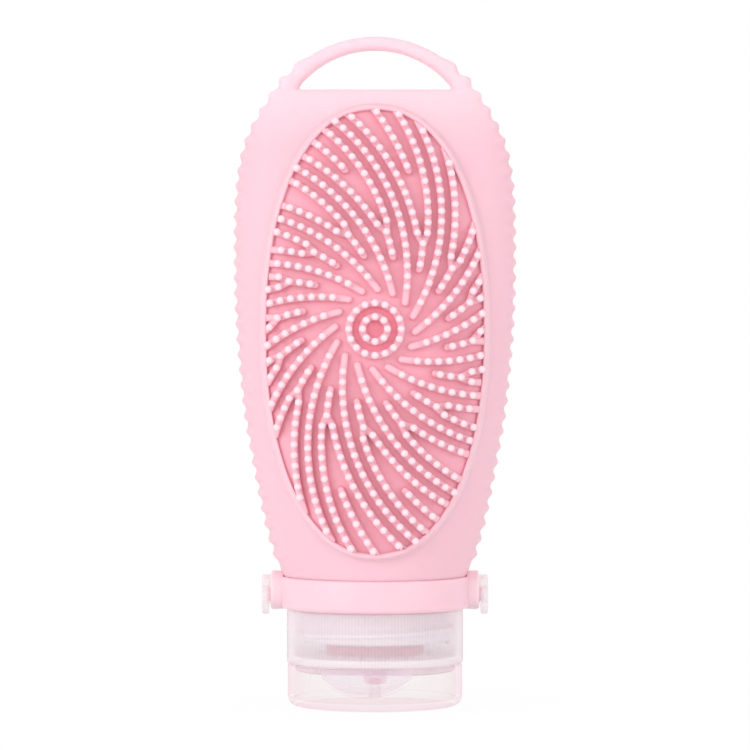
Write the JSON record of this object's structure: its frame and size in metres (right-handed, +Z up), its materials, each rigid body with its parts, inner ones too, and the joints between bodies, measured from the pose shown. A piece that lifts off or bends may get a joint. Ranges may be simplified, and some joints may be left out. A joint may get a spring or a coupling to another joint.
{
  "type": "travel dispenser bottle",
  "caption": "Squeezable silicone travel bottle with a bristle brush face, hanging loop, screw cap with a flip lid, and a swinging carry bail on its collar.",
  "frame": {"origin": "centre of the flip lid's flat end face, on which the bottle stands", "axes": "+Z up along the bottle's axis to the hanging loop, brush face towards -Y, the bail's hoop towards +Y"},
  "size_m": [0.059, 0.0562, 0.139],
  "materials": {
    "body_silicone": "satin pale pink silicone",
    "brush_silicone": "satin pink silicone",
    "collar_plastic": "satin pink polypropylene",
    "clear_plastic": "translucent natural polypropylene",
    "cap_plastic": "milky translucent polypropylene",
    "valve_silicone": "satin pink silicone"
  },
  "bodies": {
    "bottle": {"bottle_body": "body_silicone", "brush_pad": "brush_silicone", "neck_insert": "clear_plastic", "collar_ring": "collar_plastic"},
    "bail": {"carry_bail": "clear_plastic"},
    "liner": {"lid_gasket": "valve_silicone"},
    "cap": {"cap_skirt": "cap_plastic", "dispensing_valve": "valve_silicone", "valve_retainer": "collar_plastic"},
    "lid": {"flip_lid": "cap_plastic"}
  },
  "joints": [
    {"name": "cap_lift", "type": "slide", "parent": "bottle", "child": "liner", "axis": [0, 0, -1], "range_m": [0, 0.006]},
    {"name": "cap_turn", "type": "hinge", "parent": "liner", "child": "cap", "pos_m": [0, 0, 0.0144], "axis": [0, 0, -1], "range_deg": [0, 720]},
    {"name": "lid_flip", "type": "hinge", "parent": "cap", "child": "lid", "pos_m": [0.00213, 0.01928, 0.00865], "axis": [0.994, -0.1097, 0], "range_deg": [0, 150]},
    {"name": "bail_swing", "type": "hinge", "parent": "bottle", "child": "bail", "pos_m": [0, 0, 0.023], "axis": [1, 0, 0], "range_deg": [-90, 42]}
  ],
  "couplings": [
    {"joint": "cap_lift", "follows": "cap_turn", "m_per_rad": 0.00047746}
  ]
}
